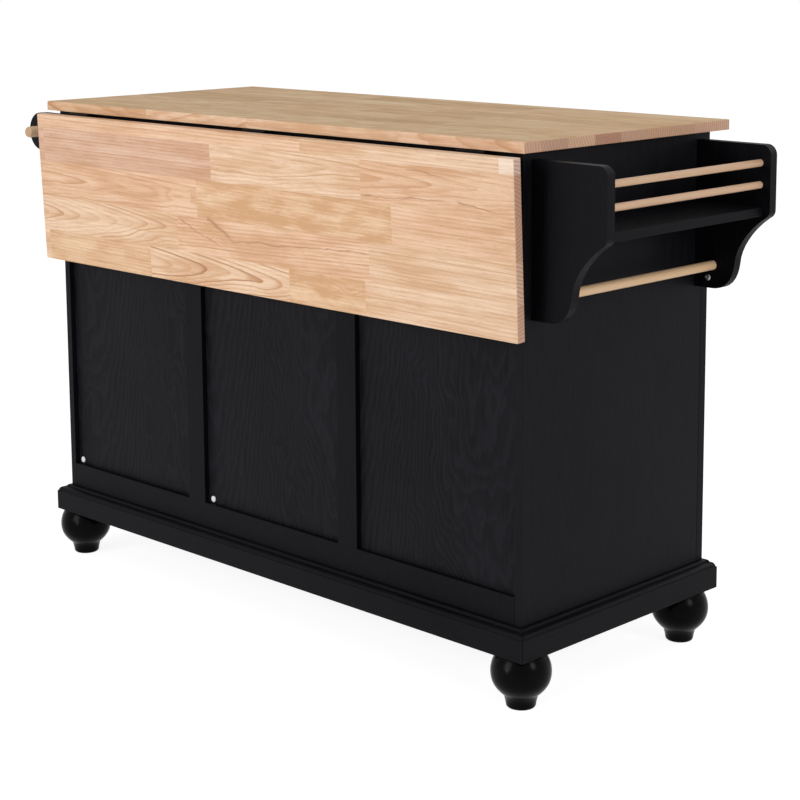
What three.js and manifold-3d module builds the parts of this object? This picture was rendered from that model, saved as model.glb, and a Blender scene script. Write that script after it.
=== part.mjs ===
// Drop leaf kitchen island, in millimetres, +Z up, doors and drawers towards -Y.
// The leaf hangs behind the worktop's back edge (+Y), the spice rack is on the left end (-X)
// and the towel rack on the right end (+X). Left and right are as seen from the doors.
import * as THREE from 'three';
import { mergeVertices } from 'three/addons/utils/BufferGeometryUtils.js';
import Module from 'manifold-3d';

const wasm = await Module();
wasm.setup();

// Overall
const height = 930; // floor to worktop
const topLength = 1260;
const topDepth = 540;
const topThickness = 18; // the leaf has the same thickness, so that it lies flush
const endOverhang = 17.5; // worktop past the cabinet's ends
const backOverhang = 18; // worktop past the cabinet's back
const frontOverhang = 32; // worktop past the cabinet's front
const seat = 0.3; // gap between pieces that touch
const overlap = 1; // joined shapes run into each other, and cutters past a face, by this much
const fineSides = 24; // facets of large round pieces
const plainSides = 20;
const smallSides = 16;
const outlineSegments = 8; // facets of each curve in a rack plate's outline
const mouldingSegments = 4;

// Carcass boards
const boardThickness = 15; // end panels, partitions and shelves
const deckThickness = 18;
const backPanelThickness = 6;
const backFrameThickness = 9.7;
const faceFrameThickness = 18;
const bayShare = 0.169; // a partition's distance from the middle, over the cabinet's length
const stileWidth = 48; // the two stiles between the bays, front and back
const endStileWidth = 40; // front stiles at the cabinet's ends
const backRailHeight = 47;
const faceTopRail = 40;
const faceBottomRail = 30;
const drawerRail = 24; // rail between two drawers
const shelfHeight = 380; // cupboard shelf above the deck

// Plinth and feet
const footHeight = 91;
const plinthHeight = 51;
const plinthFlat = 39; // plain part of the plinth's face, below its moulding
const plinthReach = 22; // plinth past the cabinet's ends and back
const plinthReachFront = 16;
const plinthArris = 1; // chamfer on the plain face's upper edge
const mouldingQuirk = 2; // groove above the plain face
const mouldingWaist = 8; // where the moulding's big curve ends and its small bead begins
const beadHeight = 4.5;
const footInsetEnd = 17; // foot's axis from the cabinet's end
const footInsetBack = 19;
const footInsetFront = 41;
const footBallRadius = 50.5;
const footBallHeight = 61; // ball's centre above the floor
const footShoulderHeight = 48; // below this the foot draws in faster than a ball
const footBellyHeight = 36; // the ball's slope bends the draw-in down to here
const footCollarRadius = 28.5; // top of the tapered stub under the draw-in
const footCollarHeight = 21;
const footCollarPull = [7, 5.5]; // point that bends the draw-in, from the collar
const footStubRadius = 25.3; // lower end of the stub, above its rounded edge
const footStubHeight = 8;
const footSoleRadius = 20;
const footTenonRadius = 12;

// Leaf and its hinges
const leafDepth = 291;
const jointGap = 1.5; // between worktop and raised leaf
const pinDrop = 5.6; // hinge pin below the worktop's underside
const pinPast = 0.85; // hinge pin past the raised leaf's inner edge
const hangTilt = 2.5; // the hanging leaf leans in by this many degrees
const hingeInset = 110; // middle of an outer hinge from the leaf's end
const hingeWidth = 60;
const flapThickness = 1.6;
const knuckleRadius = 4.4;
const pinRadius = 1.6;
const pinPlay = 0.25;
const flapEdge = 2.9; // a flap's plate starts this far from the pin
const hingeMargin = 1.5; // fixed flap clear of the cabinet's back

// Stays that hold the raised leaf
const stayDrop = 90; // stay's pivot below the hinge pin
const stayStandoff = 7.5; // stay's pivot past the cabinet's back
const stayLength = 180; // pivot to roller
const stayWidth = 9;
const stayThickness = 4;
const stayPinRadius = 1.8;
const rollerRadius = 4.5;
const rollerWidth = 9;
const earThickness = 1.6;
const earRadius = 5.2;
const stayPlay = 0.4; // between arm and ears, and between roller and guide
const bracketPlate = 1.6;
const bracketHeight = 46;
const bracketWidth = 18;
const guideFloor = 1.2;
const guideWall = 1.2;
const guideDepth = 4; // guide's walls above its floor
const guideRun = 14; // guide past the roller at both ends of its travel

// Spice rack
const rackReach = 151;
const rackInset = 20; // rack plates from the cabinet's front and back faces
const rackPlate = 18;
const rackDrop = 13; // top of the rack below the worktop's underside
const rackCorner = 18; // radius of the plate's top corner
const rackNoseDrop = 115; // middle of the turn from the straight front edge to the sweep
const rackNoseBend = 5;
const rackNoseDepth = 10; // sweep starts this far in from the front edge, and as far below the nose
const rackWaistReach = 83; // narrowest part of the plate's lower half
const rackWaistDrop = 206;
const rackSweepPull = [[1, 21], [21, 56]]; // points that bend the sweep, from the waist
const rackFootReach = 37; // where the plate's flat lower end stops
const rackFootPull = [[-21, 0], [-4, 15]]; // points that bend the foot, from the waist's reach
const rackPlateHeight = 255;
const railRadius = 6.2;
const railReach = 130; // axis of the two thin rails
const railDrops = [31, 68]; // thin rails below the rack's top
const barRadius = 8.2;
const barReach = 37.5;
const barDrop = 214.5;
const socketDepth = 8; // rails and bar enter the plates
const rackShelfDrop = 105;
const rackShelfReach = 138;
const fittingRadius = 6;
const fittingThickness = 1.8;
const fittingReach = 28;
const fittingDrop = 236.5;

// Towel rack
const towelBarRadius = 11.2;
const towelNoseRadius = 38; // bracket's round end, about the bar's axis
const towelReach = 98; // bar's axis from the cabinet's end
const towelDrop = 37; // bar's axis below the bracket's top
const towelBarProud = 34; // bar past the brackets
const towelDome = 7; // height of the bar's rounded ends
const towelBracketHeight = 150;
const towelNoseStart = 120; // the round end starts this many degrees below level
const towelFootReach = 12; // bracket's flat lower end
const towelSweepPull = [[40, 0], [36, 69]]; // points that bend the sweep, above the lower end

// Back plugs
const plugRadius = 6;
const plugThickness = 2.2;
const plugInset = 14; // from the bay's side
const plugRise = 8; // above the bottom rail

// Doors and drawers
const frontGap = 3; // around each door and drawer front
const frontStile = 52; // frame around a door's panel
const drawerStile = 38;
const panelRecess = 6;
const doorHingeRadius = 3.1;
const doorHingeLeaf = 1.2;
const doorHingeMargin = 20; // hinge shorter than the door at each end
const doorKnobDrop = 200; // knob below the door's top
const knobRadius = 15;
const knobProjection = 24;
const knobCrownRadius = 13.5; // bends the knob's face
const knobStemRadius = 6;
const knobNeck = 9; // length of the knob's stem
const knobFlare = 2; // the stem widens over its last part
const drawerSideGap = 2;
const drawerWall = 12;
const drawerBottom = 6;
const drawerBoxDepth = 400;
const drawerBoxHeight = 140;
const runnerWidth = 30; // wooden runner past the drawer's side
const runnerHeight = 18;

// Places that follow from these sizes
const undersideZ = height - topThickness;
const carcassTopZ = undersideZ - seat;
const deckTopZ = footHeight + plinthHeight;
const carcassBottomZ = deckTopZ + seat;
const cabinetLength = topLength - 2 * endOverhang;
const bayOffset = bayShare * cabinetLength; // centre line of a partition and its stiles
const endX = cabinetLength / 2;
const innerX = endX - boardThickness;
const backY = topDepth / 2 - backOverhang;
const frontY = frontOverhang - topDepth / 2;
const panelBackY = backY - backFrameThickness - seat;
const panelFrontY = panelBackY - backPanelThickness;
const frameBackY = frontY + faceFrameThickness;
const partitionX = bayOffset - boardThickness / 2; // a partition's face in the middle bay
const bayX = bayOffset - stileWidth / 2; // the middle bay's opening
const outerBayX = [bayOffset + stileWidth / 2, endX - endStileWidth];
const bayZ = [carcassBottomZ + faceBottomRail, carcassTopZ - faceTopRail];
const pinY = topDepth / 2 + jointGap + pinPast;
const pinZ = undersideZ - pinDrop;
const rackTopZ = undersideZ - rackDrop;
const rackBackY = backY - rackInset;
const rackFrontY = frontY + rackInset;

const blackPaint = { color: 0x17181b, roughness: 0.42, metalness: 0 };
const glossPaint = { color: 0x131417, roughness: 0.22, metalness: 0 };
const butcherBlock = { color: 0xd8b48c, roughness: 0.5, metalness: 0 };
const dowelWood = { color: 0xd2ae86, roughness: 0.5, metalness: 0 };
const drawerWood = { color: 0xd9c3a0, roughness: 0.6, metalness: 0 };
const zincSteel = { color: 0xb4b6b8, roughness: 0.35, metalness: 0.9 };
const blackSteel = { color: 0x1a1b1d, roughness: 0.42, metalness: 0.3 };
const whitePlastic = { color: 0xe6e6e2, roughness: 0.4, metalness: 0 };

const island = new THREE.Group();

function piece(name, geometry, finish, parent = island) {
  const mesh = new THREE.Mesh(geometry, new THREE.MeshStandardMaterial(finish));
  mesh.name = name;
  parent.add(mesh);
  return mesh;
}

function groupAt(x, y, z, parent = island) {
  const group = new THREE.Group();
  group.position.set(x, y, z);
  parent.add(group);
  return group;
}

// A box given by where it starts and ends along each axis.
function block([x0, x1], [y0, y1], [z0, z1]) {
  const geometry = new THREE.BoxGeometry(x1 - x0, y1 - y0, z1 - z0);
  return geometry.translate((x0 + x1) / 2, (y0 + y1) / 2, (z0 + z1) / 2);
}

// A piece that is such a box, with its origin at the box's lowest corner.
function board(name, x, y, z, finish, parent = island) {
  const geometry = block([0, x[1] - x[0]], [0, y[1] - y[0]], [0, z[1] - z[0]]);
  piece(name, geometry, finish, parent).position.set(x[0], y[0], z[0]);
}

// A range of X or Y on the positive side, or its mirror image.
function mirrored([near, far], side) {
  return side > 0 ? [near, far] : [-far, -near];
}

// A cylinder along X or Y, from its middle.
function rod(radius, length, axis, sides = plainSides) {
  const geometry = new THREE.CylinderGeometry(radius, radius, length, sides);
  return axis === 'x' ? geometry.rotateZ(Math.PI / 2) : geometry;
}

function toManifold(geometry) {
  const bare = geometry.clone();
  bare.deleteAttribute('normal');
  bare.deleteAttribute('uv');
  const merged = mergeVertices(bare, 1e-4);
  return new wasm.Manifold(new wasm.Mesh({
    numProp: 3,
    vertProperties: new Float32Array(merged.attributes.position.array),
    triVerts: new Uint32Array(merged.index.array),
  }));
}

function toGeometry(manifold) {
  const { vertProperties, triVerts } = manifold.getMesh();
  const geometry = new THREE.BufferGeometry();
  geometry.setAttribute('position', new THREE.BufferAttribute(vertProperties, 3));
  geometry.setIndex(new THREE.BufferAttribute(triVerts, 1));
  return geometry;
}

function join(...geometries) {
  return toGeometry(geometries.map(toManifold).reduce((whole, next) => whole.add(next)));
}

function cut(geometry, ...tools) {
  const whole = toManifold(geometry);
  return toGeometry(tools.map(toManifold).reduce((rest, tool) => rest.subtract(tool), whole));
}

// An outline drawn in X and Z, as thick along Y as given, centred on its middle plane.
function upright(shape, thickness) {
  const geometry = new THREE.ExtrudeGeometry(shape, {
    depth: thickness,
    bevelEnabled: false,
    curveSegments: outlineSegments,
  });
  return geometry.translate(0, 0, -thickness / 2).rotateX(Math.PI / 2);
}

function turned(path, divisions, segments) {
  return new THREE.LatheGeometry(path.getPoints(divisions), segments);
}

// Plinth: four moulded boards, mitred at the corners, around the deck.
function plinthProfile(reach) {
  const curveReach = reach - mouldingQuirk;
  const waistZ = plinthHeight - beadHeight;
  const shape = new THREE.Shape();
  shape.moveTo(seat, seat);
  shape.lineTo(reach, seat);
  shape.lineTo(reach, plinthFlat - plinthArris);
  shape.lineTo(reach - plinthArris, plinthFlat);
  shape.lineTo(curveReach, plinthFlat);
  shape.quadraticCurveTo(curveReach, waistZ, mouldingWaist + plinthArris, waistZ);
  shape.lineTo(mouldingWaist, waistZ);
  shape.quadraticCurveTo(mouldingWaist, plinthHeight, mouldingWaist - beadHeight, plinthHeight);
  shape.lineTo(seat, plinthHeight);
  return shape;
}

// The board is drawn along +Z and its ends are cut to the reach of the boards that it meets.
function plinthBoard(name, length, reach, [startReach, endReach], turn, distance) {
  const geometry = new THREE.ExtrudeGeometry(plinthProfile(reach), {
    depth: length - 2 * seat,
    bevelEnabled: false,
    curveSegments: mouldingSegments,
  });
  const position = geometry.attributes.position;
  for (let i = 0; i < position.count; i += 1) {
    const mitre = position.getX(i) / reach;
    const along = position.getZ(i);
    position.setZ(i, along > 0 ? along + mitre * endReach : -mitre * startReach);
  }
  const side = groupAt(0, 0, footHeight);
  side.rotation.z = turn;
  const mesh = piece(name, geometry, blackPaint, side);
  const outUpAlong = new THREE.Matrix4().makeBasis(
    new THREE.Vector3(0, 1, 0),
    new THREE.Vector3(0, 0, 1),
    new THREE.Vector3(1, 0, 0),
  );
  mesh.quaternion.setFromRotationMatrix(outUpAlong);
  mesh.position.set(distance.start + seat, distance.out, 0);
}

function addPlinth() {
  const depth = backY - frontY;
  const endReaches = [plinthReach, plinthReach];
  plinthBoard('plinth_back', cabinetLength, plinthReach, endReaches, 0,
    { start: -endX, out: backY });
  plinthBoard('plinth_front', cabinetLength, plinthReachFront, endReaches, Math.PI,
    { start: -endX, out: -frontY });
  plinthBoard('plinth_left', depth, plinthReach, [plinthReachFront, plinthReach], Math.PI / 2,
    { start: frontY, out: endX });
  plinthBoard('plinth_right', depth, plinthReach, [plinthReach, plinthReachFront], -Math.PI / 2,
    { start: -backY, out: endX });
  board('base_deck', [seat - endX, endX - seat], [frontY + seat, backY - seat],
    [deckTopZ - deckThickness, deckTopZ], blackPaint);
}

function footGeometry() {
  const shoulder = Math.asin((footShoulderHeight - footBallHeight) / footBallRadius);
  const shoulderRadius = footBallRadius * Math.cos(shoulder);
  const topAngle = Math.asin((footHeight - footBallHeight) / footBallRadius);
  const tenonTop = footHeight + plinthHeight - deckThickness - seat;
  const bellyRadius = shoulderRadius + (footShoulderHeight - footBellyHeight) * Math.tan(shoulder);
  const path = new THREE.Path();
  path.moveTo(0, 0);
  path.lineTo(footSoleRadius, 0);
  path.quadraticCurveTo(footStubRadius, 0, footStubRadius, footStubHeight);
  path.lineTo(footCollarRadius, footCollarHeight);
  path.bezierCurveTo(footCollarRadius + footCollarPull[0], footCollarHeight + footCollarPull[1],
    bellyRadius, footBellyHeight, shoulderRadius, footShoulderHeight);
  path.absarc(0, footBallHeight, footBallRadius, shoulder, topAngle, false);
  path.lineTo(footTenonRadius, footHeight);
  path.lineTo(footTenonRadius, tenonTop);
  path.lineTo(0, tenonTop);
  return turned(path, 4, fineSides).rotateX(Math.PI / 2);
}

function addFeet() {
  const geometry = footGeometry();
  for (const [end, side] of [['left', -1], ['right', 1]]) {
    const x = side * (endX - footInsetEnd);
    piece(`foot_back_${end}`, geometry, glossPaint).position.set(x, backY - footInsetBack, 0);
    piece(`foot_front_${end}`, geometry, glossPaint).position.set(x, frontY + footInsetFront, 0);
  }
}

// Carcass: end panels, partitions with the drawers' runners, back, face frame and shelves.
function drawerOpening(index) {
  const clear = (bayZ[1] - bayZ[0] - 2 * drawerRail) / 3;
  const top = bayZ[1] - index * (clear + drawerRail);
  return [top - clear, top];
}

function addCarcass() {
  const carcassZ = [carcassBottomZ, carcassTopZ];
  const insideY = [frameBackY + seat, panelFrontY - seat];
  const runners = [0, 1, 2].map((index) => drawerOpening(index)[0] + frontGap - seat);
  for (const [end, side] of [['left', -1], ['right', 1]]) {
    board(`end_panel_${end}`, mirrored([innerX, endX], side), [frameBackY + seat, backY], carcassZ,
      blackPaint);
    const wall = block(mirrored([partitionX, partitionX + boardThickness], side), insideY, carcassZ);
    const strips = runners.map((top) => block(
      mirrored([partitionX - runnerWidth, partitionX + overlap], side),
      insideY,
      [top - runnerHeight, top],
    ));
    piece(`partition_${end}`, join(wall, ...strips), blackPaint);
    board(`shelf_${end}`, mirrored([partitionX + boardThickness + seat, innerX - seat], side),
      [insideY[0] + seat, insideY[1] - seat],
      [deckTopZ + shelfHeight, deckTopZ + shelfHeight + boardThickness], blackPaint);
  }
  addBack();
  addFaceFrame();
}

function addBack() {
  const railX = [seat - innerX, innerX - seat];
  const frameY = [backY - backFrameThickness, backY];
  const low = [carcassBottomZ, carcassBottomZ + backRailHeight];
  const high = [carcassTopZ - backRailHeight, carcassTopZ];
  const stiles = [-1, 1].map((side) => block(
    mirrored([bayOffset - stileWidth / 2, bayOffset + stileWidth / 2], side),
    frameY,
    [low[1] - overlap, high[0] + overlap],
  ));
  piece('back_frame', join(block(railX, frameY, low), block(railX, frameY, high), ...stiles), blackPaint);
  board('back_panel', railX, [panelFrontY, panelBackY], [carcassBottomZ, carcassTopZ], blackPaint);
  const plugs = { plug_end: innerX - plugInset, plug_middle: bayX - plugInset };
  for (const [name, x] of Object.entries(plugs)) {
    const plug = piece(name, rod(plugRadius, plugThickness, 'y', smallSides), whitePlastic);
    plug.position.set(x, panelBackY + seat + plugThickness / 2, low[1] + plugRise);
  }
}

function addFaceFrame() {
  const frameY = [frontY, frameBackY];
  const through = [frontY - overlap, frameBackY + overlap];
  const bays = [-1, 1].map((side) => block(mirrored(outerBayX, side), through, bayZ));
  const drawers = [0, 1, 2].map((index) => block([-bayX, bayX], through, drawerOpening(index)));
  const whole = block([-endX, endX], frameY, [carcassBottomZ, carcassTopZ]);
  piece('face_frame', cut(whole, ...bays, ...drawers), blackPaint);
}

// Fronts: a frame around a sunk panel, and a turned knob.
function frontGeometry(width, high, stile) {
  const slab = block([-width / 2, width / 2], [0, faceFrameThickness], [-high / 2, high / 2]);
  const sunk = [stile - width / 2, width / 2 - stile];
  const sunkZ = [stile - high / 2, high / 2 - stile];
  return cut(slab, block(sunk, [-overlap, panelRecess], sunkZ));
}

function knobGeometry() {
  const path = new THREE.Path();
  const rim = knobProjection - knobNeck;
  path.moveTo(0, seat);
  path.lineTo(knobStemRadius, seat);
  path.lineTo(knobStemRadius, knobNeck - knobFlare);
  path.quadraticCurveTo(knobRadius, knobNeck, knobRadius, knobNeck + rim / 2);
  path.quadraticCurveTo(knobCrownRadius, knobProjection, 0, knobProjection);
  return turned(path, 3, smallSides);
}

function addDoors() {
  const [near, far] = outerBayX;
  const width = far - near - 2 * frontGap;
  const doorHeight = bayZ[1] - bayZ[0] - 2 * frontGap;
  const middleZ = (bayZ[0] + bayZ[1]) / 2;
  const barrelLength = doorHeight - 2 * doorHingeMargin;
  for (const [end, side] of [['left', -1], ['right', 1]]) {
    const hinge = groupAt(side * (far - frontGap / 2), frontY - doorHingeRadius - seat, middleZ);
    const barrel = new THREE.CylinderGeometry(doorHingeRadius, doorHingeRadius, barrelLength, 12);
    const leafX = mirrored([frontGap / 2 - seat - doorHingeLeaf, frontGap / 2 - seat], side);
    const leafPlate = block(leafX, [0, faceFrameThickness], [-barrelLength / 2, barrelLength / 2]);
    piece(`door_hinge_${end}`, join(barrel.rotateX(Math.PI / 2), leafPlate), zincSteel, hinge);
    const doorX = -side * (width / 2 + frontGap / 2);
    const door = piece(`door_${end}`, frontGeometry(width, doorHeight, frontStile), blackPaint, hinge);
    door.position.set(doorX, doorHingeRadius + seat, 0);
    const knob = piece(`door_knob_${end}`, knobGeometry(), zincSteel, door);
    knob.rotation.x = Math.PI;
    knob.position.set(side * (frontStile / 2 - width / 2), 0, doorHeight / 2 - doorKnobDrop);
  }
}

function addDrawers() {
  const width = 2 * (bayX - frontGap);
  const half = bayX - drawerSideGap;
  const boxY = [faceFrameThickness + seat, faceFrameThickness + seat + drawerBoxDepth];
  ['top', 'middle', 'bottom'].forEach((level, index) => {
    const [low, high] = drawerOpening(index);
    const frontHeight = high - low - 2 * frontGap;
    const drawer = groupAt(0, frontY, (low + high) / 2);
    const bottom = frontGap + seat - (high - low) / 2;
    const outside = block([-half, half], boxY, [bottom, bottom + drawerBoxHeight]);
    const inside = block([drawerWall - half, half - drawerWall],
      [boxY[0] + drawerWall, boxY[1] - drawerWall],
      [bottom + drawerBottom, bottom + drawerBoxHeight + overlap]);
    piece(`drawer_front_${level}`, frontGeometry(width, frontHeight, drawerStile), blackPaint, drawer);
    piece(`drawer_box_${level}`, cut(outside, inside), drawerWood, drawer);
    const knob = piece(`drawer_knob_${level}`, knobGeometry(), zincSteel, drawer);
    knob.rotation.x = Math.PI;
    knob.position.y = panelRecess;
  });
}

// Leaf: hinged under the worktop's back edge. Its group has its origin on the hinge pin and is
// drawn as the raised leaf lies, then turned to where the leaf hangs.
// A flap is bored for the pin where a bore radius is given.
function hingeFlap(direction, segments, boreRadius) {
  const plateTop = pinDrop - seat;
  const reach = pinY - backY - hingeMargin;
  const plateZ = [plateTop - flapThickness, plateTop];
  const plateY = mirrored([flapEdge, reach], direction);
  const tabY = mirrored([0, flapEdge + overlap], direction);
  const parts = segments.flatMap(([start, end]) => [
    rod(knuckleRadius, end - start, 'x').translate((start + end) / 2, 0, 0),
    block([start, end], tabY, plateZ),
  ]);
  const flap = join(block([-hingeWidth / 2, hingeWidth / 2], plateY, plateZ), ...parts);
  return boreRadius ? cut(flap, rod(boreRadius, hingeWidth + 2 * overlap, 'x')) : flap;
}

function addLeaf() {
  const third = hingeWidth / 3;
  const outer = [[-hingeWidth / 2, -third / 2 - seat], [third / 2 + seat, hingeWidth / 2]];
  const leafGroup = groupAt(0, pinY, pinZ);
  leafGroup.rotation.x = THREE.MathUtils.degToRad(-90 - hangTilt);
  board('drop_leaf', [-topLength / 2, topLength / 2], [-pinPast, leafDepth - pinPast],
    [pinDrop, pinDrop + topThickness], butcherBlock, leafGroup);
  const outerHinge = topLength / 2 - hingeInset;
  ['left', 'centre', 'right'].forEach((place, index) => {
    const x = (index - 1) * outerHinge;
    const middle = hingeFlap(-1, [[-third / 2, third / 2]], 0);
    const pin = rod(pinRadius, hingeWidth, 'x', smallSides);
    piece(`worktop_hinge_${place}`, join(middle, pin), blackSteel).position.set(x, pinY, pinZ);
    const bored = hingeFlap(1, outer, pinRadius + pinPlay);
    piece(`leaf_hinge_${place}`, bored, blackSteel, leafGroup).position.x = x;
  });
  addStays(leafGroup);
}

// Each stay hangs from a bracket on a back stile. Raised, its roller bears on the guide under
// the leaf; hanging, the leaf leans towards the roller.
function addStays(leafGroup) {
  const pivotY = backY + stayStandoff;
  const rise = stayDrop + pinDrop - seat - guideFloor - stayPlay - rollerRadius;
  const reach = pivotY - pinY + Math.sqrt(stayLength ** 2 - rise ** 2);
  const guideY = [reach - guideRun, stayDrop + stayLength + guideRun];
  const guideX = rollerWidth / 2 + stayPlay + guideWall;
  const guideTop = pinDrop - seat;
  for (const [end, side] of [['left', -1], ['right', 1]]) {
    const x = side * bayOffset;
    const pivot = groupAt(x, pivotY, pinZ - stayDrop);
    piece(`stay_bracket_${end}`, stayBracket(), zincSteel, pivot);
    piece(`stay_arm_${end}`, stayArm(), zincSteel, pivot);
    const channel = block([-guideX, guideX], guideY, [guideTop - guideFloor - guideDepth, guideTop]);
    const slot = block([guideWall - guideX, guideX - guideWall],
      [guideY[0] - overlap, guideY[1] + overlap],
      [guideTop - guideFloor - guideDepth - overlap, guideTop - guideFloor]);
    piece(`stay_guide_${end}`, cut(channel, slot), zincSteel, leafGroup).position.x = x;
  }
}

function stayBracket() {
  const inside = stayThickness / 2 + stayPlay;
  const plateY = [seat - stayStandoff, seat - stayStandoff + bracketPlate];
  const plateX = [-bracketWidth / 2, bracketWidth / 2];
  const plate = block(plateX, plateY, [-bracketHeight / 2, bracketHeight / 2]);
  const ears = [-1, 1].flatMap((side) => [
    rod(earRadius, earThickness, 'x').translate(side * (inside + earThickness / 2), 0, 0),
    block(mirrored([inside, inside + earThickness], side), [plateY[0], 0], [-earRadius, earRadius]),
  ]);
  const pin = rod(stayPinRadius, 2 * (inside + earThickness), 'x', smallSides);
  return join(plate, ...ears, pin);
}

function stayArm() {
  const bar = block([-stayThickness / 2, stayThickness / 2],
    [-stayWidth / 2, stayWidth / 2], [-stayLength, 0]);
  const end = rod(stayWidth / 2, stayThickness, 'x');
  const roller = rod(rollerRadius, rollerWidth, 'x').translate(0, 0, -stayLength);
  const bore = rod(stayPinRadius + pinPlay, stayThickness + 2 * overlap, 'x', smallSides);
  return cut(join(bar, end, roller), bore);
}

// Racks: in a rack's group X points away from the cabinet's end and Z is up from the rack's top.
// A curve's two bending points are given from a corner, so that they follow the outline's sizes.
function bend(shape, [first, second], corner, end) {
  shape.bezierCurveTo(corner[0] + first[0], corner[1] + first[1],
    corner[0] + second[0], corner[1] + second[1], end[0], end[1]);
}

function rackOutline() {
  const noseZ = -rackNoseDrop;
  const waist = [rackWaistReach, -rackWaistDrop];
  const footZ = -rackPlateHeight;
  const shape = new THREE.Shape();
  shape.moveTo(seat, 0);
  shape.lineTo(seat, footZ);
  shape.lineTo(rackFootReach, footZ);
  bend(shape, rackFootPull, [rackWaistReach, footZ], waist);
  bend(shape, rackSweepPull, waist, [rackReach - rackNoseDepth, noseZ - rackNoseDepth]);
  shape.quadraticCurveTo(rackReach, noseZ - rackNoseBend, rackReach, noseZ + rackNoseBend);
  shape.lineTo(rackReach, -rackCorner);
  shape.absarc(rackReach - rackCorner, -rackCorner, rackCorner, 0, Math.PI / 2, false);
  return shape;
}

function addSpiceRack() {
  const middleY = (rackBackY + rackFrontY) / 2;
  const span = rackBackY - rackFrontY;
  const clear = span / 2 - rackPlate; // rack's middle to a plate's inner face
  const rack = groupAt(-endX, middleY, rackTopZ);
  rack.rotation.z = Math.PI;
  const rods = [
    ['rack_rail_upper', railRadius, railReach, -railDrops[0]],
    ['rack_rail_lower', railRadius, railReach, -railDrops[1]],
    ['rack_bar', barRadius, barReach, -barDrop],
  ];
  const rodLength = 2 * (clear + socketDepth - seat);
  for (const [name, radius, x, z] of rods) {
    piece(name, rod(radius, rodLength, 'y', smallSides), dowelWood, rack).position.set(x, 0, z);
  }
  for (const [place, side] of [['front', 1], ['back', -1]]) {
    const plateY = side * (clear + rackPlate / 2);
    const sockets = rods.map(([, radius, x, z]) => {
      return rod(radius + seat, 2 * socketDepth, 'y', smallSides).translate(x, side * clear, z);
    });
    const plate = upright(rackOutline(), rackPlate).translate(0, plateY, 0);
    piece(`rack_plate_${place}`, cut(plate, ...sockets), blackPaint, rack);
    const disc = rod(fittingRadius, fittingThickness, 'y', smallSides);
    piece(`rack_fitting_${place}`, disc, zincSteel, rack)
      .position.set(fittingReach, side * (clear - seat - fittingThickness / 2), -fittingDrop);
  }
  board('rack_shelf', [seat, rackShelfReach], [seat - clear, clear - seat],
    [-rackShelfDrop - boardThickness, -rackShelfDrop], blackPaint, rack);
}

function towelOutline() {
  const noseZ = -towelDrop;
  const footZ = -towelBracketHeight;
  const start = -THREE.MathUtils.degToRad(towelNoseStart);
  const noseStart = [
    towelReach + towelNoseRadius * Math.cos(start),
    noseZ + towelNoseRadius * Math.sin(start),
  ];
  const shape = new THREE.Shape();
  shape.moveTo(seat, 0);
  shape.lineTo(seat, footZ);
  shape.lineTo(towelFootReach, footZ);
  bend(shape, towelSweepPull, [0, footZ], noseStart);
  shape.absarc(towelReach, noseZ, towelNoseRadius, start, Math.PI / 2, false);
  return shape;
}

function towelBarGeometry(length) {
  const half = length / 2;
  const path = new THREE.Path();
  path.moveTo(0, -half);
  path.quadraticCurveTo(towelBarRadius, -half, towelBarRadius, towelDome - half);
  path.lineTo(towelBarRadius, half - towelDome);
  path.quadraticCurveTo(towelBarRadius, half, 0, half);
  return turned(path, 5, fineSides);
}

function addTowelRack() {
  const middleY = (rackBackY + rackFrontY) / 2;
  const span = rackBackY - rackFrontY;
  const rack = groupAt(endX, middleY, rackTopZ);
  const bar = piece('towel_bar', towelBarGeometry(span + 2 * towelBarProud), dowelWood, rack);
  bar.position.set(towelReach, 0, -towelDrop);
  for (const [place, side] of [['front', -1], ['back', 1]]) {
    const hole = rod(towelBarRadius + seat, rackPlate + 2 * overlap, 'y', fineSides)
      .translate(towelReach, 0, -towelDrop);
    const bracket = cut(upright(towelOutline(), rackPlate), hole);
    piece(`towel_bracket_${place}`, bracket, blackPaint, rack)
      .position.set(0, side * (span - rackPlate) / 2, 0);
  }
}

board('worktop', [-topLength / 2, topLength / 2], [-topDepth / 2, topDepth / 2],
  [undersideZ, height], butcherBlock);
addPlinth();
addFeet();
addCarcass();
addDoors();
addDrawers();
addLeaf();
addSpiceRack();
addTowelRack();

// The origin is on the floor, under the middle of everything.
const middle = new THREE.Box3().setFromObject(island, true).getCenter(new THREE.Vector3());
island.position.set(-middle.x, -middle.y, 0);

export default island;
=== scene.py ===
# Drop leaf kitchen island: finishes, turned pieces, fastenings, studio and camera around the
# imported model. Metres, +Z up, doors and drawers towards -Y, drop leaf towards +Y.
import math
import random

import bmesh
import bpy
from mathutils import Matrix, Vector


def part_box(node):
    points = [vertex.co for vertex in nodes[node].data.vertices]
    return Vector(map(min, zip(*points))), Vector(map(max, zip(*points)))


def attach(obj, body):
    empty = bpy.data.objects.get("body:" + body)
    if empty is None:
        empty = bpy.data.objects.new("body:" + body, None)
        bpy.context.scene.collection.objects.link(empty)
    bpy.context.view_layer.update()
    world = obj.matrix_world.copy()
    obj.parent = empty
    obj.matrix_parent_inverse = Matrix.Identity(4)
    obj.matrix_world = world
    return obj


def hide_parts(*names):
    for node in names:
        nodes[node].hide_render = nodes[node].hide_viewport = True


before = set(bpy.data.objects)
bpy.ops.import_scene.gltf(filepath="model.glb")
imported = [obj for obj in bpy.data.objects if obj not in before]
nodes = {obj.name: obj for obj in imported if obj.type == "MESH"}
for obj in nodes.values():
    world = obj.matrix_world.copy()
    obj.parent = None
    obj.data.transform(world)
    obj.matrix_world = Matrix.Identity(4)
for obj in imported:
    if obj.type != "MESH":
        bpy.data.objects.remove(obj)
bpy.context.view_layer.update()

MM = 0.001
ENDS = ("left", "right")
PLACES = ("front", "back")
LEVELS = ("top", "middle", "bottom")
SHARP_TURN = math.radians(40)  # edges that turn more than this are shaded as sharp


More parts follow.
